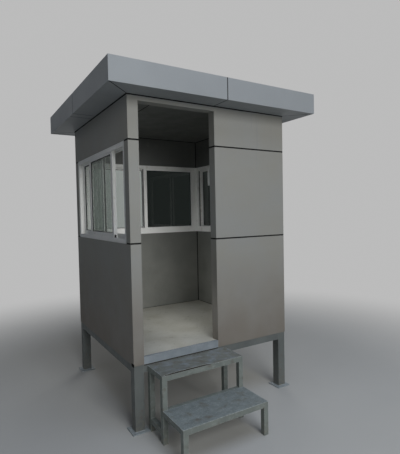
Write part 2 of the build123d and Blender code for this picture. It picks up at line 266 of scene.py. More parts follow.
# Floor board
# One fibre-cement sheet screwed down on the joists. Its face is pale and slightly
# mottled, with faint scuffs and drifts of dust.
# Pressed fibre cement: dead matt, with a fine fibrous grain.
fibre_cement, tree, place = start_material("fibre_cement_board_pressed")
board = layered(
    tree,
    "#b1b0a6",
    (unevenness(tree, place, 130, 0, 1), "#bbbab1"),
    (unevenness(tree, place, 6, 0, 0.4, detail=4.0), "#a7a59a"),
    (unevenness(tree, place, 260, -0.5, 0.9, detail=5.0), "#a19e91"),
    (unevenness(tree, place, 30, -2.8, 0.6, detail=5.0, stretch=(0.6, 1, 1)), "#86847b"),
)
grain = {"Height": unevenness(tree, place, 4, 0, 1, detail=5.0), "Distance": 0.00012}
surface = {
    "Base Color": board,
    "Roughness": unevenness(tree, place, 40, 0.62, 0.8),
    "Normal": add_node(tree, "ShaderNodeBump", grain),
}
shader = add_node(tree, "ShaderNodeBsdfPrincipled", surface)
add_node(tree, "ShaderNodeOutputMaterial", {"Surface": shader})
dress(["floor_deck"], fibre_cement, 0.6)

# Zinc-plated steel: bright grey with a faint yellow cast, dulled by handling.
zinc_plate, tree, place = start_material("zinc_plated_screw")
surface = {
    "Base Color": layered(tree, "#a5a59d", (unevenness(tree, place, 4, 0, 1), "#87877f")),
    "Roughness": unevenness(tree, place, 3, 0.35, 0.6),
    "Metallic": 1.0,
}
shader = add_node(tree, "ShaderNodeBsdfPrincipled", surface)
add_node(tree, "ShaderNodeOutputMaterial", {"Surface": shader})


def lathe(bm, centre, outline, sides=12):
    """Turns an outline of (radius, height) pairs round an upright axis."""
    rings = []
    for radius, height in outline:
        ring = []
        for k in range(sides):
            angle = math.tau * k / sides
            spoke = Vector((radius * math.cos(angle), radius * math.sin(angle), height))
            ring.append(bm.verts.new(Vector(centre) + spoke))
        rings.append(ring)
    join_rings(bm, rings)


def in_metres(*points):
    """A profile whose pairs are given in millimetres."""
    return [(a / 1000, b / 1000) for a, b in points]


floor_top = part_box("floor_deck")[1][2]
screw_head = in_metres((4.5, -1.0), (4.5, 0.2), (3.8, 0.7), (1.2, 0.7), (0.9, -0.5))
screws_across, screws_back = (-0.62, -0.335, 0.0, 0.335, 0.62), (-0.6, -0.3, 0.0, 0.3, 0.6)
most_across, most_back = 0.006, 0.012
bm = bmesh.new()
for x in screws_across:
    for y in screws_back:
        off_x = random.uniform(-most_across, most_across)
        off_y = random.uniform(-most_back, most_back)
        lathe(bm, (x + off_x, y + off_y, floor_top), screw_head)
new_piece("floor_screws", bm, zinc_plate)


# Threshold
# A folded steel trim over the board's edge in the doorway, painted blue-grey and
# scuffed by shoes along its top edge. Dirt has gathered above it, and the dark strip
# below it is painted shadow.
# Brushed enamel: a soft gloss with the brush's streaks along the trim.
blue_grey_enamel, tree, place = start_material("blue_grey_enamel_brushed")
paint = layered(
    tree,
    "#7c858b",
    (unevenness(tree, place, 60, 0, 1), "#8a9298"),
    (unevenness(tree, place, 18, 0.1, 0.9, within=outside_edges(tree, 0.005)), "#adb3b5"),
)
streaks = unevenness(tree, place, 8, 0, 1, stretch=(0.2, 1, 1))
streaks = {"Height": streaks, "Distance": 0.00006}
surface = {
    "Base Color": paint,
    "Roughness": unevenness(tree, place, 30, 0.35, 0.55),
    "Normal": add_node(tree, "ShaderNodeBump", streaks),
}
shader = add_node(tree, "ShaderNodeBsdfPrincipled", surface)
add_node(tree, "ShaderNodeOutputMaterial", {"Surface": shader})
dress(["threshold"], blue_grey_enamel, 1.0)

threshold_low, threshold_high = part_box("threshold")
sheet = threshold_high[1] - threshold_low[1]
nosing = in_metres((-22.0, 0.0), (1.8, 0.0), (2.4, 0.6), (2.4, 1.2), (1.6, 1.8), (-22.0, 1.8))
nosing_depth = -nosing[0][0]
end_gap = 0.001
strip_pitch = 0.1
left_end = (threshold_low[0] + end_gap, threshold_low[1], floor_top)
right_end = (threshold_high[0] - end_gap, threshold_low[1], floor_top)
bm = bmesh.new()
run_profile(bm, left_end, right_end, (0, -1, 0), (0, 0, 1), nosing, strip_pitch)
new_piece("threshold_nosing", bm, blue_grey_enamel, smooth=False)

# Dirt packed into a joint, and painted shadow under the trim: matt, brown black.
joint_dirt_and_shadow, tree, place = start_material("packed_dirt_and_painted_shadow")
surface = {
    "Base Color": layered(tree, "#23221f", (unevenness(tree, place, 9, 0, 1), "#3a3731")),
    "Roughness": 0.9,
}
shader = add_node(tree, "ShaderNodeBsdfPrincipled", surface)
add_node(tree, "ShaderNodeOutputMaterial", {"Surface": shader})
heap_half = 0.003
heap = [(-heap_half, -0.001), (heap_half, -0.001), (0.001, 0.0011), (-heap_half, 0.0016)]
behind_nosing = Vector((0, nosing_depth + heap_half, 0))
strip = in_metres((-0.5, 0.0), (-0.5, -9.0), (2.5, -9.0), (2.5, 0.0))
# Under the trim: a dark strip of painted shadow over the beam behind.
under_trim = Vector((0, sheet, threshold_low[2] - floor_top))
bm = bmesh.new()
for moved, across, profile in ((behind_nosing, 1, heap), (under_trim, -1, strip)):
    start, end = Vector(left_end) + moved, Vector(right_end) + moved
    run_profile(bm, start, end, (0, across, 0), (0, 0, 1), profile, strip_pitch)
new_piece("threshold_dirt_and_painted_shadow", bm, joint_dirt_and_shadow, smooth=False)


# Cladding
# Aluminium composite sheet, 4 mm, routed on the back and folded round the posts.
# Silver coil coating: fine metal flake under a satin clear film, nearly flat with slow
# waves. Rain keeps the roof edge clean. Below the eave the walls are warmer: partly a
# film of dust that thickens toward the bottom, with faint rain runs, and partly painted
# shade where the eave keeps the sky's blue light off them.
silver_coat, tree, place = start_material("silver_coil_coating_on_composite")
lower_wall = fading_up(tree, place, 0.5, 1.3)
# Painted shade under the eave, partly dust: the walls are warmer than the fascia.
under_eave_dust_and_shade = fading_up(tree, place, 2.48, 2.5)
rain_runs = unevenness(tree, place, 45, -1.8, 0.15, detail=4.0, stretch=(1, 1, 0.05))
coat = layered(
    tree,
    "#8a8e90",
    (unevenness(tree, place, 480, 0, 1, detail=2.0), "#909496"),
    # The real flake is 0.03 mm, too fine to show, so it is drawn at 1.5 mm.
    (unevenness(tree, place, 1.5, 0, 0.2, detail=0.0), "#a2a8ac"),
    (unevenness(tree, place, 300, 0.6, 0.9, within=under_eave_dust_and_shade), "#8f8e87"),
    (unevenness(tree, place, 220, 0.55, 0.85, within=lower_wall), "#736b62"),
    (rain_runs, "#7b8084"),
)
waves = {"Height": unevenness(tree, place, 600, 0, 1, detail=0.0), "Distance": 0.0004}
surface = {
    "Base Color": coat,
    "Roughness": unevenness(tree, place, 170, 0.5, 0.6),
    "Normal": add_node(tree, "ShaderNodeBump", waves),
    "Metallic": 0.1,
    "IOR": 1.42,
    "Specular IOR Level": 0.2,
}
shader = add_node(tree, "ShaderNodeBsdfPrincipled", surface)
add_node(tree, "ShaderNodeOutputMaterial", {"Surface": shader})
outer_sheets = ["front_post_cladding", "front_header", "back_corner_trims"]
outer_sheets += [f"front_right_{height}_panel" for height in ("lower", "middle", "upper")]
for wall_name in ("left", "back", "right"):
    outer_sheets += [f"{wall_name}_lower_panel", f"{wall_name}_upper_panel"]
dress(outer_sheets, silver_coat, 1.0)


# Cladding joints
# Dark silicone tooled into the 8 mm joints between the sheets and smeared a little way
# over the edges of the wall sheets, and a thin fillet of it under the soffit.
# Silicone: a rubbery black, dulled by dust so that it hardly shines.
silicone, tree, place = start_material("dark_silicone_tooled")
tooling = {"Height": unevenness(tree, place, 6, 0, 1), "Distance": 0.00015}
surface = {
    "Base Color": layered(tree, "#0c0c0d", (unevenness(tree, place, 12, 0, 1), "#141515")),
    "Roughness": unevenness(tree, place, 8, 0.6, 0.85),
    "Normal": add_node(tree, "ShaderNodeBump", tooling),
    "IOR": 1.42,
    "Specular IOR Level": 0.2,
}
shader = add_node(tree, "ShaderNodeBsdfPrincipled", surface)
add_node(tree, "ShaderNodeOutputMaterial", {"Surface": shader})

joint = 0.008
in_joint = in_metres((4.0, -3.8), (-4.0, -3.8))
hollow = in_metres((-4.8, -0.05), (-4.2, -0.2), (-2.2, -1.4), (0.0, -1.9), (2.2, -1.4), (4.2, -0.2))
hollow += in_metres((4.8, -0.05)) + in_joint
lapped = in_metres((-6.2, -0.1), (-5.0, 0.5), (-2.5, -0.3), (0.0, -0.8), (2.5, -0.3), (5.0, 0.5))
lapped += in_metres((6.2, -0.1)) + in_joint


def fill_joint(bm, start, end, outward, profile=hollow):
    """Silicone in a joint whose middle line lies in the sheets' outer face."""
    along = (Vector(end) - Vector(start)).normalized()
    ring_pitch = 0.04
    run_profile(bm, start, end, along.cross(Vector(outward)), outward, profile, ring_pitch)


def fill_corner(bm, start, end, face_a, face_b, size):
    """A fillet of silicone in the corner of two faces, given by their normals."""
    bead = [(-0.1, -0.1), (1.0, -0.05), (0.62, 0.22), (0.32, 0.36), (0.18, 0.62), (-0.05, 1.0)]
    profile = [(a * size, b * size) for a, b in bead]
    wave = [random.uniform(0.9, 1.08) for _ in range(64)]
    last = len(wave) - 1
    ring_pitch = 0.05
    run_profile(bm, start, end, face_a, face_b, profile, ring_pitch, lambda t: wave[int(t * last)])


lower_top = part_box("front_right_lower_panel")[1][2]
middle_low, middle_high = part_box("front_right_middle_panel")
upper_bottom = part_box("front_right_upper_panel")[0][2]
wall = middle_high[0]
doorway_left, doorway_right = threshold_low[0], middle_low[0]
jamb_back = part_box("front_lining")[1][1]
trim_end = -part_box("left_lining")[1][0]
soffit_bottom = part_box("soffit")[0][2]
bm = bmesh.new()
for z in ((lower_top + middle_low[2]) / 2, (middle_high[2] + upper_bottom) / 2):
    for start, end, outward in (
        ((-wall + sheet, -wall), (doorway_left, -wall), (0, -1, 0)),
        ((doorway_left, -wall), (doorway_left, jamb_back), (1, 0, 0)),
        ((doorway_right, -wall), (wall - sheet, -wall), (0, -1, 0)),
        ((doorway_right, -wall), (doorway_right, jamb_back), (-1, 0, 0)),
        ((-wall, trim_end), (-wall, wall - sheet), (-1, 0, 0)),
        ((-wall, -wall), (-wall, -trim_end), (-1, 0, 0)),
        ((wall, trim_end), (wall, wall - sheet), (1, 0, 0)),
        ((wall, -wall), (wall, -trim_end), (1, 0, 0)),
        ((-trim_end, wall), (sheet - wall, wall), (0, 1, 0)),
        ((trim_end, wall), (wall - sheet, wall), (0, 1, 0)),
    ):
        fill_joint(bm, (*start, z), (*end, z), outward, lapped)
z = soffit_bottom
for side in (-1, 1):
    across = side * wall
    fill_corner(bm, (-wall, across, z), (wall, across, z), (0, side, 0), (0, 0, -1), joint)
    fill_corner(bm, (across, -wall, z), (across, wall, z), (side, 0, 0), (0, 0, -1), joint)
new_piece("cladding_joints", bm, silicone)


# Linings and ceiling
# The same composite sheet turned inwards, glued to the inside of the frame. Dark
# silicone closes its corners, the ceiling's edge and the ceiling's joint.
# Dull grey coil coating: flat and neutral, with faint hand marks. It is paler low down
# and darker up by the ceiling, as painted light and shade.
dull_coat, tree, place = start_material("dull_grey_coil_coating")
# Painted light and shade: paler below the windows, darker toward the ceiling.
painted_light_low_on_lining = fading_up(tree, place, 0.9, 1.9)
coat = layered(
    tree,
    "#5f615e",
    (unevenness(tree, place, 400, 0, 1, detail=2.0), "#666865"),
    (unevenness(tree, place, 200, 0.6, 0.95, within=painted_light_low_on_lining), "#878882"),
    (unevenness(tree, place, 90, -1.6, 0.4, detail=5.0), "#7a7974"),
)
waves = {"Height": unevenness(tree, place, 380, 0, 1, detail=1.0), "Distance": 0.0006}
surface = {
    "Base Color": coat,
    "Roughness": unevenness(tree, place, 120, 0.45, 0.6),
    "Normal": add_node(tree, "ShaderNodeBump", waves),
    "Metallic": 0.15,
}
shader = add_node(tree, "ShaderNodeBsdfPrincipled", surface)
add_node(tree, "ShaderNodeOutputMaterial", {"Surface": shader})
linings = [f"{wall_name}_lining" for wall_name in ("front", "left", "back", "right")]
dress([*linings, "ceiling"], dull_coat, 0.6)

room, room_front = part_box("back_lining")[1][0], jamb_back
ceiling_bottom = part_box("ceiling")[0][2]
ceiling_joint_x = -0.5
upright_fillet, ceiling_fillet, floor_fillet = 0.007, 0.006, 0.0035
bm = bmesh.new()
for low, high in ((floor_top, lower_top), (upper_bottom, ceiling_bottom)):
    for x, y, inward, back in ((-room, room, 1, -1), (room, room, -1, -1), (room, room_front, -1, 1)):
        faces = (inward, 0, 0), (0, back, 0)
        fill_corner(bm, (x, y, low), (x, y, high), *faces, upright_fillet)
for z, up, size in ((ceiling_bottom, -1, ceiling_fillet), (floor_top, 1, floor_fillet)):
    fill_corner(bm, (-room, room, z), (room, room, z), (0, -1, 0), (0, 0, up), size)
    left_start = -room if up < 0 else doorway_right + sheet
    fill_corner(bm, (left_start, room_front, z), (room, room_front, z), (0, 1, 0), (0, 0, up), size)
    for side in (-1, 1):
        x = side * room
        fill_corner(bm, (x, room_front, z), (x, room, z), (-side, 0, 0), (0, 0, up), size)
x, z = ceiling_joint_x, ceiling_bottom
fill_joint(bm, (x, room_front, z), (x, room, z), (0, 0, -1))
new_piece("lining_joints", bm, silicone)


# Roof edge and soffit
# Composite sheet again: four fascia sheets folded round the corners, and mitred soffit
# sheets. The joints at mid side and on the mitres are filled with the same silicone.
dress(["roof_fascia", "soffit"], silver_coat, 1.2)
fascia_low, fascia_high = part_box("roof_fascia")
eave, roof_top = fascia_high[0], fascia_high[2]
flange = 0.04
eave_inside = eave - sheet
extra_seam_y = 0.11
z = soffit_bottom
bm = bmesh.new()
for side in (-1, 1):
    for way in (Vector((1, 0, 0)), Vector((0, 1, 0))):
        out = way * side
        foot, head = (out * eave + Vector((0, 0, up)) for up in (fascia_low[2], roof_top))
        fill_joint(bm, foot, head, out)
        fill_joint(bm, head, head - out * flange, (0, 0, 1))
        under = Vector((0, 0, z))
        fill_joint(bm, out * wall + under, out * eave_inside + under, (0, 0, -1))
    for sy in (-1, 1):
        inner = (side * wall, sy * wall, z)
        outer = (side * eave_inside, sy * eave_inside, z)
        fill_joint(bm, inner, outer, (0, 0, -1))
y = extra_seam_y
fill_joint(bm, (-wall, y, z), (-eave_inside, y, z), (0, 0, -1))
new_piece("roof_joints", bm, silicone)


# Roof deck
# Flat galvanised sheet on the roof tubes, hidden behind the fascia's raised edge. It is
# fixed with hexagon screws on washers and sealed all round at the fascia.
# Galvanised sheet: zinc crystals about 12 mm across, each its own grey, under grime.
galvanised, tree, place = start_material("galvanised_sheet_spangled")
crystals = add_node(tree, "ShaderNodeTexVoronoi", {"Vector": place, "Scale": 1000 / 12}, "Color")
shade = add_node(tree, "ShaderNodeSeparateColor", {0: crystals})
zinc = layered(
    tree,
    "#8f9496",
    (shade, "#b3b8ba"),
    (unevenness(tree, place, 160, -0.4, 0.6, detail=5.0), "#85827a"),
)
waves = {"Height": unevenness(tree, place, 200, 0, 1, detail=1.0), "Distance": 0.00075}
surface = {
    "Base Color": zinc,
    "Roughness": unevenness(tree, place, 90, 0.38, 0.62),
    "Normal": add_node(tree, "ShaderNodeBump", waves),
    "Metallic": 0.9,
}
shader = add_node(tree, "ShaderNodeBsdfPrincipled", surface)
add_node(tree, "ShaderNodeOutputMaterial", {"Surface": shader})
dress(["roof_deck"], galvanised, 0.4)
dress(["roof_joists", "roof_rims"], grey_enamel, 1.5)

deck_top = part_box("roof_deck")[1][2]
washer = in_metres((8.0, 0.0), (8.0, 1.2), (6.5, 2.4), (5.0, 2.6))
hexagon = in_metres((4.8, 2.2), (4.8, 6.6), (4.2, 7.4))
tube_middles = (-0.926, -0.44, 0.0, 0.44, 0.926)
first_screw, screw_pitch, screws_a_tube = -0.86, 0.2457, 8
most_across, most_back = 0.004, 0.008
bm = bmesh.new()
for x in tube_middles:
    for k in range(screws_a_tube):
        y = first_screw + k * screw_pitch + random.uniform(-most_back, most_back)
        spot = (x + random.uniform(-most_across, most_across), y, deck_top)
        lathe(bm, spot, washer, sides=14)
        lathe(bm, spot, hexagon, sides=6)
new_piece("roof_screws", bm, zinc_plate, smooth=False)
bm = bmesh.new()
z, sealant, far = deck_top, 0.012, eave_inside
for side in (-1, 1):
    edge = side * far
    fill_corner(bm, (-far, edge, z), (far, edge, z), (0, -side, 0), (0, 0, 1), sealant)
    fill_corner(bm, (edge, -far, z), (edge, far, z), (-side, 0, 0), (0, 0, 1), sealant)
new_piece("roof_edge_sealant", bm, silicone)


# Window frames and sashes
# Extruded aluminium, white powder coat with a faint grain, butt jointed at the corners.
# Each frame has two tracks, with a raised rail in each on which the sash's wheels run.
# Powder coat: an even white with a low gloss, dusty in places and rubbed on its edges.
white_powder, tree, place = start_material("white_powder_coat_on_aluminium")
powder = layered(
    tree,
    "#ecedea",
    (unevenness(tree, place, 200, 0, 1), "#f2f2ef"),
    (unevenness(tree, place, 60, -1.4, 0.5, detail=5.0), "#d2d0c8"),
    (unevenness(tree, place, 9, 0, 0.6, within=outside_edges(tree, 0.0015)), "#aeb1b0"),
)
# The powder's grain is about 0.5 mm, drawn at 2 mm so that it shows.
grain = {"Height": unevenness(tree, place, 2, 0, 1, detail=1.0), "Distance": 0.00003}
surface = {
    "Base Color": powder,
    "Roughness": unevenness(tree, place, 50, 0.32, 0.46),
    "Normal": add_node(tree, "ShaderNodeBump", grain),
}
shader = add_node(tree, "ShaderNodeBsdfPrincipled", surface)
add_node(tree, "ShaderNodeOutputMaterial", {"Surface": shader})

window_walls = {
    "left": (Vector((-1, 0, 0)), Vector((0, 1, 0))),
    "back": (Vector((0, 1, 0)), Vector((1, 0, 0))),
    "right": (Vector((1, 0, 0)), Vector((0, -1, 0))),
}
for name in window_walls:
    dress([f"{name}_window_frame", f"{name}_window_sashes"], white_powder, 0.8)

frame_plane = wall - sheet
frame_low, frame_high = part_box("right_window_frame")
frame_half, sill_z, head_z = frame_high[1], frame_low[2], frame_high[2]
frame_depth = frame_high[0] - frame_low[0]
jamb_face, sill_face, head_face, track_dip = 0.040, 0.034, 0.036, 0.006
clear_half = frame_half - jamb_face
sashes_low, sashes_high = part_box("right_window_sashes")
sash_bottom, sash_top = sashes_low[2], sashes_high[2]
sash_width, sash_stile, sash_rail, sash_depth = 0.654, 0.038, 0.042, 0.028
glass_in_sash = 0.014
outer_track, inner_track = 0.007, 0.040
# Each sash: its wall, its start along the wall, and the depth of its outer face.
sashes = []
for name in window_walls:
    outer_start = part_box("left_window_sashes")[0][1] if name == "left" else sashes_low[1]
    sashes.append((name, outer_start, outer_track))
    sashes.append((name, -sash_stile / 2, inner_track))


def run_on_window(bm, wall_name, start, end, depth, away, facing, profile, pitch=2.0):
    """Sweeps a strip between two (along, up) points, at a depth in from the frame's face."""
    outward, sideways = window_walls[wall_name]
    start, end, away = (sideways * u + Vector((0, 0, z)) for u, z in (start, end, away))
    place = outward * (frame_plane - depth)
    run_profile(bm, place + start, place + end, away, outward * facing, profile, pitch)


def round_pane(bm, sash, depth, facing, profile):
    """Runs a strip round a sash's opening, its profile measured in toward the pane."""
    wall_name, start, face = sash
    u0, u1 = start + sash_stile, start + sash_width - sash_stile
    z0, z1 = sash_bottom + sash_rail, sash_top - sash_rail
    for corner, far, into in (
        ((u0, z0), (u1, z0), (0, 1)),
        ((u0, z1), (u1, z1), (0, -1)),
        ((u0, z0), (u0, z1), (1, 0)),
        ((u1, z0), (u1, z1), (-1, 0)),
    ):
        run_on_window(bm, wall_name, corner, far, face + depth, into, facing, profile)


rail = in_metres((-1.6, 0.0), (1.6, 0.0), (1.6, 5.0), (0.8, 5.8), (-0.8, 5.8), (-1.6, 5.0))
track_end = clear_half + track_dip
play_above = 0.002
bm = bmesh.new()
for name, _, face in sashes:
    outward, sideways = window_walls[name]
    for z, up in ((sash_bottom, 1), (sash_top + play_above, -1)):
        middle = outward * (frame_plane - face - glass_in_sash) + Vector((0, 0, z))
        ends = middle - sideways * track_end, middle + sideways * track_end
        run_profile(bm, *ends, outward, (0, 0, up), rail)
new_piece("window_track_rails", bm, white_powder, smooth=False)

# Glazing beads: a strip snapped in round the room side of each pane.
strip = in_metres((0.0, -0.6), (-10.0, -0.6), (-10.0, 1.4), (-3.0, 2.0), (0.0, 1.0))
bm = bmesh.new()
for sash in sashes:
    round_pane(bm, sash, sash_depth, -1, strip)
new_piece("glazing_beads", bm, white_powder, smooth=False)

# Grime in the hairline joints of the extrusions: a matt brown grey.
hairline_grime, tree, place = start_material("grime_in_hairline_joint")
surface = {
    "Base Color": layered(tree, "#5c5c58", (unevenness(tree, place, 15, 0, 1), "#8a8a84")),
    "Roughness": 0.8,
}
shader = add_node(tree, "ShaderNodeBsdfPrincipled", surface)
add_node(tree, "ShaderNodeOutputMaterial", {"Surface": shader})
hairline = in_metres((-0.4, -0.2), (0.4, -0.2), (0.4, 0.1), (-0.4, 0.1))
bm = bmesh.new()
for name in window_walls:
    for u in (-clear_half, clear_half):
        for z0, z1 in ((sill_z, sill_z + sill_face), (head_z, head_z - head_face)):
            run_on_window(bm, name, (u, z0), (u, z1), 0.0, (1, 0), 1, hairline)
            run_on_window(bm, name, (u, z0), (u, z1), frame_depth, (1, 0), -1, hairline)
for name, start, face in sashes:
    for u in (start + sash_stile, start + sash_width - sash_stile):
        for z0, z1 in ((sash_bottom, sash_bottom + sash_rail), (sash_top - sash_rail, sash_top)):
            run_on_window(bm, name, (u, z0), (u, z1), face, (1, 0), 1, hairline)
            run_on_window(bm, name, (u, z0), (u, z1), face + sash_depth, (1, 0), -1, hairline)
new_piece("extrusion_joints", bm, hairline_grime, smooth=False)


# Glazing and seals
# Float glass, 5 mm, held by black rubber gaskets. Pile strips close the sashes' edges,
# and a brush each lap. Left of the booth's middle it is clear; right of it the panes
# are painted nearly black, as painted shade.
# Float glass: smooth and clear with a green cast; in the panes on the right it is made
# nearly black as painted shade. Dust and wiped streaks only dull its gloss here and there.
glass, tree, place = start_material("float_glass")
# Painted shade: the panes right of the middle are made nearly black.
across = add_node(tree, "ShaderNodeSeparateXYZ", {0: place}, "X")
painted_dark_on_the_right = {"Value": across, "From Min": -0.01, "From Max": 0.01}
painted_dark_on_the_right = add_node(tree, "ShaderNodeMapRange", painted_dark_on_the_right)
streaks = unevenness(tree, place, 500, 0, 1)
surface = {
    "Base Color": layered(tree, "#bec6c1", (streaks, "#c4cbc7"), (painted_dark_on_the_right, "#2b302e")),
    "Roughness": unevenness(tree, place, 110, -0.02, 0.05, detail=5.0),
    "IOR": 1.52,
    "Transmission Weight": 1.0,
}
shader = add_node(tree, "ShaderNodeBsdfPrincipled", surface)
add_node(tree, "ShaderNodeOutputMaterial", {"Surface": shader})
panes = [f"{name}_window_glass" for name in window_walls]
dress(panes, glass, 0.3)
# The lamps' light comes into the booth through glass, which a refracting pane would block.
for name in panes:
    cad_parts[name].visible_shadow = False

# Extruded rubber: black, with a dull and slightly dusty surface.
black_rubber, tree, place = start_material("black_rubber_extruded")
surface = {
    "Base Color": layered(tree, "#161718", (unevenness(tree, place, 20, 0, 1), "#242627")),
    "Roughness": unevenness(tree, place, 10, 0.5, 0.75),
}
shader = add_node(tree, "ShaderNodeBsdfPrincipled", surface)
add_node(tree, "ShaderNodeOutputMaterial", {"Surface": shader})
wedge = in_metres((-1.0, -0.3), (5.0, -0.3), (5.4, 1.0), (2.6, 7.2), (0.8, 8.2), (-1.0, 8.2))
lip = in_metres((-1.0, -0.3), (1.6, -0.3), (1.8, 0.6), (1.0, 1.8), (-1.0, 2.2))
glass_half = 0.0025
bm = bmesh.new()
for sash in sashes:
    round_pane(bm, sash, glass_in_sash - glass_half, 1, wedge)
    round_pane(bm, sash, glass_in_sash + glass_half, -1, lip)
new_piece("glazing_gaskets", bm, black_rubber, smooth=False)

# The stop that the left window's outer sash was slid against: a ribbed rubber buffer.
buffer = in_metres((-7.0, 0.0), (7.0, 0.0), (7.0, 20.0), (4.5, 23.0), (-4.5, 23.0), (-7.0, 20.0))
buffer_depth, buffer_reach, buffer_gap = 0.010, 0.014, 0.0005
ring_pitch = 0.0035
wall_name, start, face = sashes[0]
outward, sideways = window_walls[wall_name]
foot = outward * (frame_plane - face - buffer_depth) + Vector((0, 0, sill_z + sill_face))
ends = foot + sideways * (start - buffer_reach), foot + sideways * (start - buffer_gap)
bm = bmesh.new()
run_profile(
    bm, *ends, outward, (0, 0, 1), buffer, ring_pitch, lambda t: 0.94 + 0.06 * (round(t * 4) % 2)
)
new_piece("left_sash_buffer", bm, black_rubber, smooth=False)

# Woven pile: matt, with its fibres lying across the strip. The real fibres are 0.05 mm,
# drawn at 1.5 mm.
pile = {}
for tone, dark, light in (("black", "#131415", "#242526"), ("grey", "#4b4d4e", "#777a7b")):
    pile[tone], tree, place = start_material(f"{tone}_woven_pile")
    fibres = unevenness(tree, place, 1.5, 0, 1, stretch=(1, 1, 0.2))
    surface = {"Base Color": layered(tree, dark, (fibres, light)), "Roughness": 0.9}
    shader = add_node(tree, "ShaderNodeBsdfPrincipled", surface)
    add_node(tree, "ShaderNodeOutputMaterial", {"Surface": shader})

# Pile strips in the free end of each inner track, and on the edge of each inner sash
# at the lap. Their black is partly painted shade in these deep gaps.
track_seal = in_metres((0.2, -6.0), (0.2, -17.0), (-3.6, -16.0), (-3.6, -7.0))
edge_seal = in_metres((-0.2, -8.0), (-0.2, -23.0), (3.0, -22.0), (3.0, -9.0))
low, high = sash_bottom + 0.005, sash_top - 0.029
pile_pitch = 0.05
bm = bmesh.new()
for name, start, face in sashes[1::2]:
    for u, seal in ((-track_end, track_seal), (start, edge_seal)):
        run_on_window(bm, name, (u, low), (u, high), face, (-1, 0), 1, seal, pile_pitch)
new_piece("sash_pile_seals", bm, pile["black"], smooth=False)

# Brush of the meeting stiles, on the outer face of the inner sash.
tuft = in_metres((-3.0, -0.2), (3.0, -0.2), (3.4, 3.6), (0.0, 4.4), (-3.4, 3.6))
brush_on_stile = 0.009
bm = bmesh.new()
for name, start, face in sashes[1::2]:
    u = start + brush_on_stile
    run_on_window(bm, name, (u, low), (u, high), face, (1, 0), 1, tuft, pile_pitch)
new_piece("meeting_brushes", bm, pile["grey"])


# Switch box
# A small white surface box moulded in ABS, screwed to the front lining beside the
# jamb, with a lid, a parting line and one rocker.
# Moulded ABS: an even warm white with a fine spark-eroded grain.
moulded_abs, tree, place = start_material("white_abs_moulded")
grain = {"Height": unevenness(tree, place, 1.5, 0, 1, detail=1.0), "Distance": 0.00002}
surface = {
    "Base Color": layered(tree, "#dcdcd6", (unevenness(tree, place, 40, 0, 1), "#e6e6e1")),
    "Roughness": unevenness(tree, place, 20, 0.3, 0.42),
    "Normal": add_node(tree, "ShaderNodeBump", grain),
    "IOR": 1.53,
}
shader = add_node(tree, "ShaderNodeBsdfPrincipled", surface)
add_node(tree, "ShaderNodeOutputMaterial", {"Surface": shader})
dress(["switch_box"], moulded_abs, 0.3)

box_low, box_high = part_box("switch_box")
lid_face = Vector(((box_low[0] + box_high[0]) / 2, box_high[1], (box_low[2] + box_high[2]) / 2))
rocker_half_x, rocker_half_z, rocker_sunk = 0.011, 0.018, -0.001
rocker_rise = ((-1.0, 0.0036), (-0.5, 0.0022), (0.0, 0.0014), (0.5, 0.0008), (1.0, 0.0004))
rings = []
bm = bmesh.new()
for share, lift in rocker_rise:
    ring = []
    for x, y in ((-1, rocker_sunk), (1, rocker_sunk), (1, lift), (-1, lift)):
        corner = Vector((x * rocker_half_x, y, share * rocker_half_z))
        ring.append(bm.verts.new(lid_face + corner))
    rings.append(ring)
join_rings(bm, rings)
new_piece("switch_rocker", bm, moulded_abs, smooth=False)
lid_deep, inset = 0.012, 0.006
lid_y = box_high[1] - lid_deep
bm = bmesh.new()
for x, facing in ((box_low[0], -1), (box_high[0], 1)):
    ends = (x, lid_y, box_low[2] + inset), (x, lid_y, box_high[2] - inset)
    run_profile(bm, *ends, (0, 1, 0), (facing, 0, 0), hairline)
for z, facing in ((box_low[2], -1), (box_high[2], 1)):
    ends = (box_low[0] + inset, lid_y, z), (box_high[0] - inset, lid_y, z)
    run_profile(bm, *ends, (0, 1, 0), (0, 0, facing), hairline)
new_piece("switch_lid_line", bm, hairline_grime, smooth=False)


# Steps
# Square tube welded into two low tables and brushed with grey enamel. Shoes and rain
# have worn the treads to blotches and pale scuffs, and rust starts in the joints.
# Brushed enamel: a soft sheen, pale on the edges, partly rubbed and partly a painted
# highlight, and splashed near the ground.
brushed_enamel, tree, place = start_material("grey_enamel_brushed_on_steps")
near_ground = fading_up(tree, place, 0.0, 0.14)
paint = layered(
    tree,
    "#69706c",
    (unevenness(tree, place, 110, 0, 1), "#777e79"),
    (unevenness(tree, place, 30, -0.8, 0.6, detail=6.0), "#878d88"),
    # Pale edges: partly wear, partly a painted highlight.
    (unevenness(tree, place, 12, 0, 1.0, within=outside_edges(tree, 0.004)), "#abb1ad"),
    (unevenness(tree, place, 70, -1.6, 0.6, detail=5.0), "#5f5c54"),
    (unevenness(tree, place, 16, -0.2, 0.6, within=near_ground), "#857c6d"),
)
brushing = {"Height": unevenness(tree, place, 7, 0, 1, detail=5.0), "Distance": 0.00018}
surface = {
    "Base Color": paint,
    "Roughness": unevenness(tree, place, 28, 0.4, 0.68, detail=5.0),
    "Normal": add_node(tree, "ShaderNodeBump", brushing),
}
shader = add_node(tree, "ShaderNodeBsdfPrincipled", surface)
add_node(tree, "ShaderNodeOutputMaterial", {"Surface": shader})
dress(["step_frame"], brushed_enamel, 1.6)

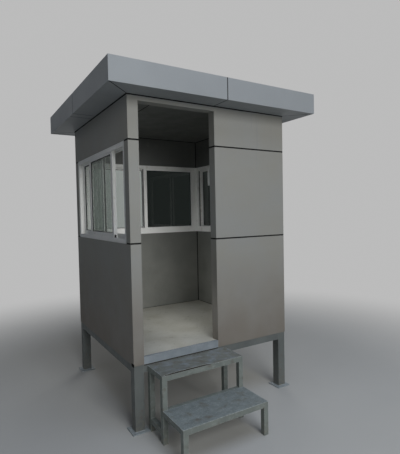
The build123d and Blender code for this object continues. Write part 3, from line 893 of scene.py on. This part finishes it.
# The same enamel where shoes tread: the upper sheet has a film of mud, the lower one is
# scuffed through to a pale undercoat.
trodden_enamel, tree, place = start_material("grey_enamel_trodden")
treads_low, treads_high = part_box("step_treads")
tread_thick = 0.002
tread_tops = treads_low[2] + tread_thick, treads_high[2]
lower_tread = fading_up(tree, place, tread_tops[0] + 0.01, tread_tops[0] + 0.02)
paint = layered(
    tree,
    "#656863",
    (unevenness(tree, place, 110, 0, 1), "#70746f"),
    (unevenness(tree, place, 60, -0.6, 1.0, detail=6.0), "#7a8287"),
    (lower_tread, "#6e7676"),
    (unevenness(tree, place, 50, -0.2, 1.0, detail=6.0, within=lower_tread), "#7f8888"),
    (unevenness(tree, place, 8, -1.3, 0.7, detail=4.0, within=lower_tread), "#a2aaa8"),
    (unevenness(tree, place, 14, -1.5, 0.5, detail=4.0, stretch=(0.3, 1, 1)), "#959b96"),
    (unevenness(tree, place, 80, -1.2, 0.7, detail=5.0), "#605a4e"),
    # Pale edges: partly wear, partly a painted highlight.
    (unevenness(tree, place, 12, 0.2, 1.0, within=outside_edges(tree, 0.007)), "#b9c0bd"),
)
scuffs = {"Height": unevenness(tree, place, 7, 0, 1, detail=5.0), "Distance": 0.00018}
surface = {
    "Base Color": paint,
    "Roughness": unevenness(tree, place, 28, 0.4, 0.68, detail=5.0),
    "Normal": add_node(tree, "ShaderNodeBump", scuffs),
}
shader = add_node(tree, "ShaderNodeBsdfPrincipled", surface)
add_node(tree, "ShaderNodeOutputMaterial", {"Surface": shader})

# Treads: 2 mm sheet tacked on the tubes. The upper one has lifted along its front edge
# between the tacks, which leaves a gap over the tube, darkened by a strip of painted shade.
steps_left, steps_right = treads_low[0], treads_high[0]
steps_front, steps_back = treads_low[1], treads_high[1]
steps_middle = -0.995
step_tube = 0.038
upper_lift, lower_lift = 0.010, 0.001


def lift_along(across):
    """How far the front edge has lifted at a share of the tread's length."""
    between_tacks = min(1.0, across / 0.66 + 0.05)
    return min(1.0, max(0.05, 1.6 * math.sin(math.pi * between_tacks)))


def tread(bm, y0, y1, top, lift):
    """A sheet on the tubes, raised at its front edge by lift between the tacks."""
    columns, rows = 28, 6
    layers = []
    for under in (0.0, -tread_thick):
        grid = []
        for j in range(rows + 1):
            y, toward_front = y0 + (y1 - y0) * j / rows, 1 - j / rows
            row = []
            for i in range(columns + 1):
                across = i / columns
                x = steps_left + across * (steps_right - steps_left)
                z = top + under + lift * lift_along(across) * toward_front**3
                row.append(bm.verts.new((x, y, z)))
            grid.append(row)
        layers.append(grid)
        for j in range(rows):
            for i in range(columns):
                bm.faces.new((grid[j][i], grid[j][i + 1], grid[j + 1][i + 1], grid[j + 1][i]))
    rim = [(0, i) for i in range(columns)] + [(j, columns) for j in range(rows)]
    rim += [(rows, columns - i) for i in range(columns)] + [(rows - j, 0) for j in range(rows)]
    upper, lower = layers
    for (j0, i0), (j1, i1) in zip(rim, rim[1:] + rim[:1]):
        bm.faces.new((upper[j0][i0], upper[j1][i1], lower[j1][i1], lower[j0][i0]))


bm = bmesh.new()
tread(bm, steps_middle, steps_back, tread_tops[1], upper_lift)
tread(bm, steps_front, steps_middle, tread_tops[0], lower_lift)
sheets = new_piece("tread_sheets", bm, trodden_enamel, smooth=False)
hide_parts("step_treads")

# Painted shade in the gap under the lifted edge, mottled with rust: matt, nearly black.
shade_and_rust_in_gap, tree, place = start_material("painted_shade_and_rust_in_gap")
rust = unevenness(tree, place, 8, -0.4, 0.8, detail=5.0)
surface = {"Base Color": layered(tree, "#171614", (rust, "#3b2f27")), "Roughness": 0.9}
shader = add_node(tree, "ShaderNodeBsdfPrincipled", surface)
add_node(tree, "ShaderNodeOutputMaterial", {"Surface": shader})
tube_top = tread_tops[1] - tread_thick
foot_z, dark_strip_front, dark_strip_back = tube_top - 0.0005, 0.001, 0.012
slices = 44
rings = []
bm = bmesh.new()
for i in range(slices + 1):
    across = 0.005 + 0.99 * i / slices
    x = steps_left + across * (steps_right - steps_left)
    top = tube_top + 0.94 * upper_lift * lift_along(across) + 0.0003
    corners = ((dark_strip_front, foot_z), (dark_strip_back, foot_z), (dark_strip_back, top), (dark_strip_front, top))
    rings.append([bm.verts.new((x, steps_middle + depth, z)) for depth, z in corners])
join_rings(bm, rings)
new_piece("tread_gap_shade_and_rust", bm, shade_and_rust_in_gap, smooth=False)

# Welds of the steps: fillets where rails meet legs, tacks along the tread edges.
bead, in_by = 0.0035, 0.002
tack_half, tack_throat, tack_below = 0.012, 0.002, 0.001
upper_legs = ((steps_back - step_tube, -1), (steps_middle + step_tube, 1))
lower_legs = ((steps_middle, -1), (steps_front + step_tube, 1))
stretcher_low, stretcher_high = 0.062, 0.100
side_tacks, front_tacks = (0.06, 0.5, 0.92), (0.03, 0.68, 0.97)
bm = bmesh.new()
for x0, inner_x, facing_x in (
    (steps_left, steps_left + step_tube, 1),
    (steps_right - step_tube, steps_right - step_tube, -1),
):
    x0, x1 = x0 + in_by, x0 + step_tube - in_by
    for top, legs in zip(tread_tops, (lower_legs, upper_legs)):
        z = top - tread_thick - step_tube
        for y, facing in legs:
            weld(bm, (x0, y, z), (x1, y, z), (0, facing, 0), (0, 0, -1), bead)
            y0 = y if facing < 0 else y - step_tube
            across = (inner_x, y0 + in_by, z), (inner_x, y0 + step_tube - in_by, z)
            weld(bm, *across, (facing_x, 0, 0), (0, 0, -1), bead)
    for y, facing in upper_legs:
        for z, up in ((stretcher_low, -1), (stretcher_high, 1)):
            weld(bm, (x0, y, z), (x1, y, z), (0, facing, 0), (0, 0, up), bead)
for y0, y1, top in zip((steps_front, steps_middle), (steps_middle, steps_back), tread_tops):
    z = top - tread_thick - tack_below
    for x, facing in ((steps_left, -1), (steps_right, 1)):
        for share in side_tacks:
            y = y0 + share * (y1 - y0)
            ends = (x, y - tack_half, z), (x, y + tack_half, z)
            weld(bm, *ends, (facing, 0, 0), (0, 0, 1), tack_throat)
    # The lower tread's front edge is tacked from below, out of sight.
    for share in front_tacks if y0 > steps_front else ():
        x = steps_left + share * (steps_right - steps_left)
        ends = (x - tack_half, y0, z), (x + tack_half, y0, z)
        weld(bm, *ends, (0, -1, 0), (0, 0, 1), tack_throat)
new_piece("step_welds", bm, brushed_enamel)


# Ground, lamps and camera
# A plain pale floor that fades into the backdrop away from the booth, a large soft lamp
# from the front, weaker ones overhead, behind and on the left, and small ones in the room.
# Floor paint: pale, even and matt, so that it only takes the booth's shadow.
floor_paint, tree, place = start_material("pale_matt_floor_paint")
backdrop_tone, room_tone = 0.5, 0.05
fade_start, fade_end = 1.8, 5.0


def unlit_rays(tree):
    """A share that is 1 for rays from the camera, from gloss and through glass."""
    seen = add_node(tree, "ShaderNodeLightPath", output="Is Camera Ray")
    for ray in ("Is Glossy Ray", "Is Transmission Ray"):
        rays = {0: seen, 1: add_node(tree, "ShaderNodeLightPath", output=ray)}
        seen = add_node(tree, "ShaderNodeMath", rays, operation="MAXIMUM")
    return seen


away = add_node(tree, "ShaderNodeVectorMath", {0: place}, "Value", operation="LENGTH")
fade = {"Value": away, "From Min": fade_start, "From Max": fade_end}
fade = add_node(tree, "ShaderNodeMapRange", fade, interpolation_type="SMOOTHSTEP")
fade = add_node(tree, "ShaderNodeMath", {0: fade, 1: unlit_rays(tree)}, operation="MULTIPLY")
surface = {
    "Base Color": layered(tree, "#b2b2ae", (unevenness(tree, place, 900, 0, 1), "#b6b6b2")),
    "Roughness": 0.9,
}
shader = add_node(tree, "ShaderNodeBsdfPrincipled", surface)
pale = add_node(tree, "ShaderNodeEmission", {"Strength": backdrop_tone})
faded = add_node(tree, "ShaderNodeMixShader", {0: fade, 1: shader, 2: pale})
add_node(tree, "ShaderNodeOutputMaterial", {"Surface": faded})
ground_radius = 16.0
bm = bmesh.new()
bmesh.ops.create_circle(bm, cap_ends=True, segments=96, radius=ground_radius)
mesh = bpy.data.meshes.new("ground")
bm.to_mesh(mesh)
bm.free()
mesh.materials.append(floor_paint)
ground = add_object("ground", mesh)
# A hair below the base plates, whose undersides lie at height 0.
ground.location.z = -0.0005

# A black card stands behind on the left, where only gloss shows it. It takes the pale
# backdrop off the left wall's metallic paint and leaves the white frames light.
black_card, tree, _ = start_material("matt_black_card")
shader = add_node(tree, "ShaderNodeEmission", {"Color": linear("#202322")})
add_node(tree, "ShaderNodeOutputMaterial", {"Surface": shader})
x0, x1, y, top = -8.0, -1.0, 3.0, 2.9
mesh = bpy.data.meshes.new("dark_card")
mesh.from_pydata([(x0, y, 0.0), (x1, y, 0.0), (x1, y, top), (x0, y, top)], [], [(0, 1, 2, 3)])
mesh.materials.append(black_card)
card = add_object("dark_card", mesh)
card.visible_camera = card.visible_diffuse = False
card.visible_shadow = card.visible_transmission = False

world = bpy.data.worlds.new("studio")
bpy.context.scene.world = world
world.use_nodes = True
tree = world.node_tree
tree.nodes.clear()
light = {"Value": unlit_rays(tree), "To Min": room_tone, "To Max": backdrop_tone}
light = {"Color": (1, 1, 1, 1), "Strength": add_node(tree, "ShaderNodeMapRange", light)}
backdrop = add_node(tree, "ShaderNodeBackground", light)
add_node(tree, "ShaderNodeOutputWorld", {"Surface": backdrop})


def lamp(name, place, aim, size, watts, colour="#ffffff", seen=True, spread=180):
    """A square soft lamp at a place, facing a point. Only gloss and glass may show it."""
    data = bpy.data.lights.new(name, "AREA")
    data.shape = "SQUARE"
    data.size = size
    data.energy = watts
    data.spread = math.radians(spread)
    data.color = linear(colour)[:3]
    made = add_object(name, data)
    made.location = place
    made.rotation_euler = (Vector(aim) - Vector(place)).to_track_quat("-Z", "Y").to_euler()
    made.visible_camera = False
    made.visible_glossy = made.visible_transmission = seen


lamp("key", (-0.8, -8.0, 4.2), (0, 0, 1.3), 4.0, 350)
lamp("overhead", (0.2, -2.5, 7.2), (0, 0, 1.5), 5.0, 175, "#d8e6ff")
lamp("fill", (-6.0, 1.5, 2.6), (0, 0, 1.5), 3.0, 10, "#c4d8ff")
lamp("back", (4.5, 6.5, 3.6), (0, 0, 1.2), 4.0, 150, seen=False)
# Daylight that comes into the room, as three small lamps inside it: at the doorway, low
# in the doorway toward the foot of the right jamb, and under the left window.
lamp("doorway", (-0.1, -0.45, 1.2), (0.3, 0.6, 1.0), 0.6, 1.6, seen=False)
lamp("doorway_foot", (-0.52, -0.62, 0.95), (0, -0.68, 0.52), 0.36, 0.24, seen=False, spread=100)
lamp("left_window", (-0.6, -0.2, 1.35), (0.667, 0.1, 0.75), 0.4, 1.0, seen=False, spread=100)

# The camera of the photograph: its place, its turns in degrees and its focal length.
camera_data = bpy.data.cameras.new("camera")
camera = add_object("camera", camera_data)
bpy.context.scene.camera = camera
image_width, focal_pixels = 400, 391.53
eye, turns = (-1.7972, -3.4439, 1.6256), (31.365, -2.003, -1.177)
camera_data.sensor_fit = "HORIZONTAL"
camera_data.sensor_width = 36.0
camera_data.lens = focal_pixels * camera_data.sensor_width / image_width
yaw, pitch, roll = (math.radians(angle) for angle in turns)
forward = Vector((math.sin(yaw) * math.cos(pitch), math.cos(yaw) * math.cos(pitch), math.sin(pitch)))
level = Vector((math.cos(yaw), -math.sin(yaw), 0))
above = level.cross(forward)
right = level * math.cos(roll) + above * math.sin(roll)
up = above * math.cos(roll) - level * math.sin(roll)
turned = Matrix((right, up, -forward)).transposed().to_4x4()
camera.matrix_world = Matrix.Translation(eye) @ turned

bpy.context.scene.view_settings.view_transform = "Standard"
